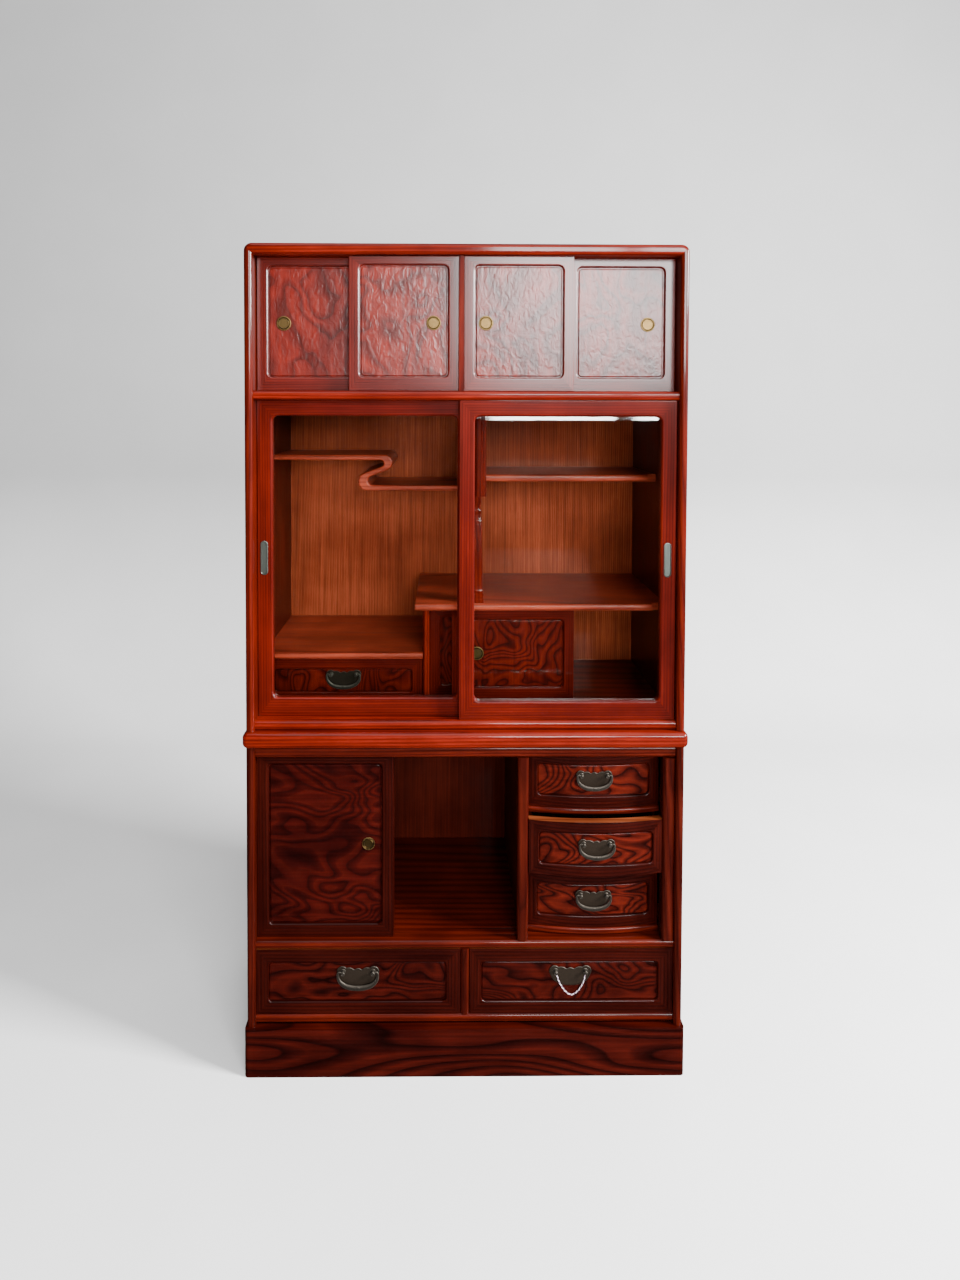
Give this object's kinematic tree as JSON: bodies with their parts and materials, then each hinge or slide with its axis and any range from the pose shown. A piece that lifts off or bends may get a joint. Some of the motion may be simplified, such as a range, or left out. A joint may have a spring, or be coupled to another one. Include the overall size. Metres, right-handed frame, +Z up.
{
  "type": "china cabinet",
  "caption": "Tall two-storey tea cabinet: sliding glass doors over staggered shelves, small sliding doors above, and a chest with bowed drawers, wide drawers and an open niche below.",
  "frame": {"origin": "centre of the footprint on the floor", "axes": "+X to the right seen from the front, +Y from front to back, +Z up"},
  "size_m": [0.912, 0.434, 1.712],
  "materials": {
    "carcass_wood": "gloss lacquer over zelkova",
    "shelf_wood": "gloss lacquer over zelkova",
    "door_wood": "deep red gloss lacquer, burl panels",
    "drawer_wood": "red gloss lacquer front, plain box",
    "back_wood": "satin veneer",
    "inner_wood": "plain planed wood",
    "glass": "clear plate with a bevelled border",
    "handle_iron": "dark antique bronzed iron",
    "pull_brass": "antique brass, worn bright on the rim",
    "pull_metal": "grey bronzed brass",
    "string": "twisted two-tone string"
  },
  "bodies": {
    "carcass": {"curved_post": "shelf_wood", "divider_strip": "carcass_wood", "door_shelf": "carcass_wood", "drawer_housing": "shelf_wood", "drawer_partitions": "inner_wood", "hanging_board": "shelf_wood", "lower_back_panel": "back_wood", "lower_bottom_board": "carcass_wood", "lower_frame": "carcass_wood", "lower_mid_board": "carcass_wood", "lower_side_boards": "carcass_wood", "lower_top_board": "carcass_wood", "mid_shelf": "shelf_wood", "plinth": "carcass_wood", "right_shelf": "shelf_wood", "staggered_shelf": "shelf_wood", "upper_back_panel": "back_wood", "upper_bottom_board": "carcass_wood", "upper_side_boards": "carcass_wood", "upper_top_board": "carcass_wood"},
    "top_door_far_left": {"top_door_far_left": "door_wood", "top_door_far_left_pull": "pull_brass"},
    "top_door_inner_left": {"top_door_inner_left": "door_wood", "top_door_inner_left_pull": "pull_brass"},
    "top_door_inner_right": {"top_door_inner_right": "door_wood", "top_door_inner_right_pull": "pull_brass"},
    "top_door_far_right": {"top_door_far_right": "door_wood", "top_door_far_right_pull": "pull_brass"},
    "left_glass_door": {"left_glass_door_frame": "door_wood", "left_glass_door_glass": "glass", "left_glass_door_pull": "pull_metal"},
    "right_glass_door": {"right_glass_door_frame": "door_wood", "right_glass_door_glass": "glass", "right_glass_door_pull": "pull_metal"},
    "small_door_front": {"small_door_front": "door_wood", "small_door_front_pull": "pull_brass"},
    "small_door_rear": {"small_door_rear": "door_wood", "small_door_rear_pull": "pull_brass"},
    "niche_door_front": {"niche_door_front": "door_wood", "niche_door_front_pull": "pull_brass"},
    "niche_door_rear": {"niche_door_rear": "door_wood", "niche_door_rear_pull": "pull_brass"},
    "left_wide_drawer": {"left_wide_drawer": "drawer_wood", "left_wide_drawer_plate": "handle_iron"},
    "left_wide_drawer_bail": {"left_wide_drawer_bail": "handle_iron"},
    "right_wide_drawer": {"right_wide_drawer": "drawer_wood", "right_wide_drawer_plate": "handle_iron", "pull_string": "string"},
    "bow_drawer_bottom": {"bow_drawer_bottom": "drawer_wood", "bow_drawer_bottom_plate": "handle_iron"},
    "bow_drawer_bottom_bail": {"bow_drawer_bottom_bail": "handle_iron"},
    "bow_drawer_middle": {"bow_drawer_middle": "drawer_wood", "bow_drawer_middle_plate": "handle_iron"},
    "bow_drawer_middle_bail": {"bow_drawer_middle_bail": "handle_iron"},
    "bow_drawer_top": {"bow_drawer_top": "drawer_wood", "bow_drawer_top_plate": "handle_iron"},
    "bow_drawer_top_bail": {"bow_drawer_top_bail": "handle_iron"},
    "display_drawer": {"display_drawer": "drawer_wood", "display_drawer_plate": "handle_iron"},
    "display_drawer_bail": {"display_drawer_bail": "handle_iron"}
  },
  "joints": [
    {"name": "top_door_far_left_slide", "type": "slide", "parent": "carcass", "child": "top_door_far_left", "axis": [1, 0, 0], "range_m": [0, 0.19]},
    {"name": "top_door_inner_left_slide", "type": "slide", "parent": "carcass", "child": "top_door_inner_left", "axis": [-1, 0, 0], "range_m": [0, 0.192]},
    {"name": "top_door_inner_right_slide", "type": "slide", "parent": "carcass", "child": "top_door_inner_right", "axis": [1, 0, 0], "range_m": [0, 0.214]},
    {"name": "top_door_far_right_slide", "type": "slide", "parent": "carcass", "child": "top_door_far_right", "axis": [-1, 0, 0], "range_m": [0, 0.212]},
    {"name": "left_glass_door_slide", "type": "slide", "parent": "carcass", "child": "left_glass_door", "axis": [1, 0, 0], "range_m": [0, 0.419]},
    {"name": "right_glass_door_slide", "type": "slide", "parent": "carcass", "child": "right_glass_door", "axis": [1, 0, 0], "range_m": [-0.4185, 0]},
    {"name": "small_door_front_slide", "type": "slide", "parent": "carcass", "child": "small_door_front", "axis": [1, 0, 0], "range_m": [-0.0485, 0.1945]},
    {"name": "small_door_rear_slide", "type": "slide", "parent": "carcass", "child": "small_door_rear", "axis": [1, 0, 0], "range_m": [0, 0.243]},
    {"name": "niche_door_front_slide", "type": "slide", "parent": "carcass", "child": "niche_door_front", "axis": [1, 0, 0], "range_m": [0, 0.2565]},
    {"name": "niche_door_rear_slide", "type": "slide", "parent": "carcass", "child": "niche_door_rear", "axis": [1, 0, 0], "range_m": [0, 0.2565]},
    {"name": "left_wide_drawer_slide", "type": "slide", "parent": "carcass", "child": "left_wide_drawer", "axis": [0, -1, 0], "range_m": [0, 0.28]},
    {"name": "left_wide_drawer_bail_swing", "type": "hinge", "parent": "left_wide_drawer", "child": "left_wide_drawer_bail", "pos_m": [-0.222, -0.198, 0.21], "axis": [-1, 0, 0], "range_deg": [0, 80]},
    {"name": "right_wide_drawer_slide", "type": "slide", "parent": "carcass", "child": "right_wide_drawer", "axis": [0, -1, 0], "range_m": [0, 0.28]},
    {"name": "bow_drawer_bottom_slide", "type": "slide", "parent": "carcass", "child": "bow_drawer_bottom", "axis": [0, -1, 0], "range_m": [0, 0.26]},
    {"name": "bow_drawer_bottom_bail_swing", "type": "hinge", "parent": "bow_drawer_bottom", "child": "bow_drawer_bottom_bail", "pos_m": [0.2695, -0.18, 0.35975], "axis": [-1, 0, 0], "range_deg": [0, 80]},
    {"name": "bow_drawer_middle_slide", "type": "slide", "parent": "carcass", "child": "bow_drawer_middle", "axis": [0, -1, 0], "range_m": [-0.033, 0.227]},
    {"name": "bow_drawer_middle_bail_swing", "type": "hinge", "parent": "bow_drawer_middle", "child": "bow_drawer_middle_bail", "pos_m": [0.2695, -0.213, 0.48675], "axis": [-1, 0, 0], "range_deg": [0, 80]},
    {"name": "bow_drawer_top_slide", "type": "slide", "parent": "carcass", "child": "bow_drawer_top", "axis": [0, -1, 0], "range_m": [0, 0.26]},
    {"name": "bow_drawer_top_bail_swing", "type": "hinge", "parent": "bow_drawer_top", "child": "bow_drawer_top_bail", "pos_m": [0.2695, -0.18, 0.61425], "axis": [-1, 0, 0], "range_deg": [0, 80]},
    {"name": "display_drawer_slide", "type": "slide", "parent": "carcass", "child": "display_drawer", "axis": [0, -1, 0], "range_m": [0, 0.03]},
    {"name": "display_drawer_bail_swing", "type": "hinge", "parent": "display_drawer", "child": "display_drawer_bail", "pos_m": [-0.263, -0.101, 0.801], "axis": [-1, 0, 0], "range_deg": [0, 80]}
  ]
}
